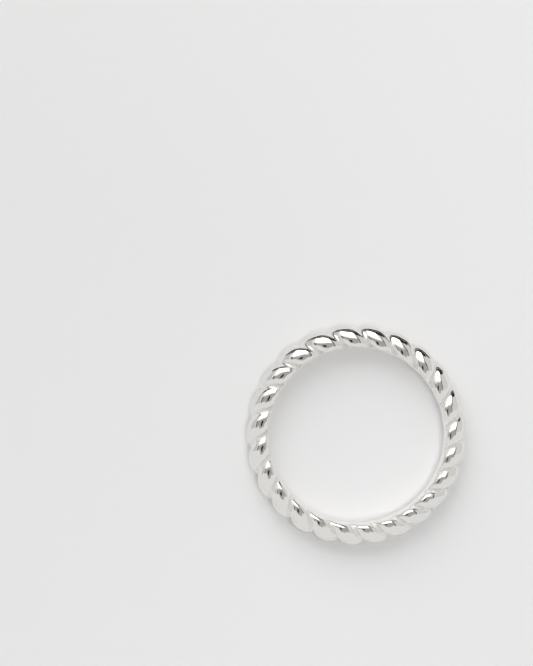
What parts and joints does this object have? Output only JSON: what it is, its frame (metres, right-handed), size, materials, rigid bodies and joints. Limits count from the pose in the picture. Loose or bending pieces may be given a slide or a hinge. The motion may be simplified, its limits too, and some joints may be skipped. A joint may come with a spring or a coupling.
{
  "type": "stackable ring",
  "caption": "Slim silver finger ring for stacking, cast in one piece as a band of twisted strands with a smooth bore and a mirror polish.",
  "frame": {"origin": "centre of the ring on the surface it lies on", "axes": "+Z along the axis of the finger bore, up from the surface; +X points at the back of the longest strand, where the twist is slowest"},
  "size_m": [0.0216, 0.0216, 0.0027],
  "materials": {
    "polished_silver": "mirror polished silver, slightly warm, faintly marked by wear"
  },
  "bodies": {
    "root": {"twist_ring": "polished_silver"}
  },
  "joints": []
}
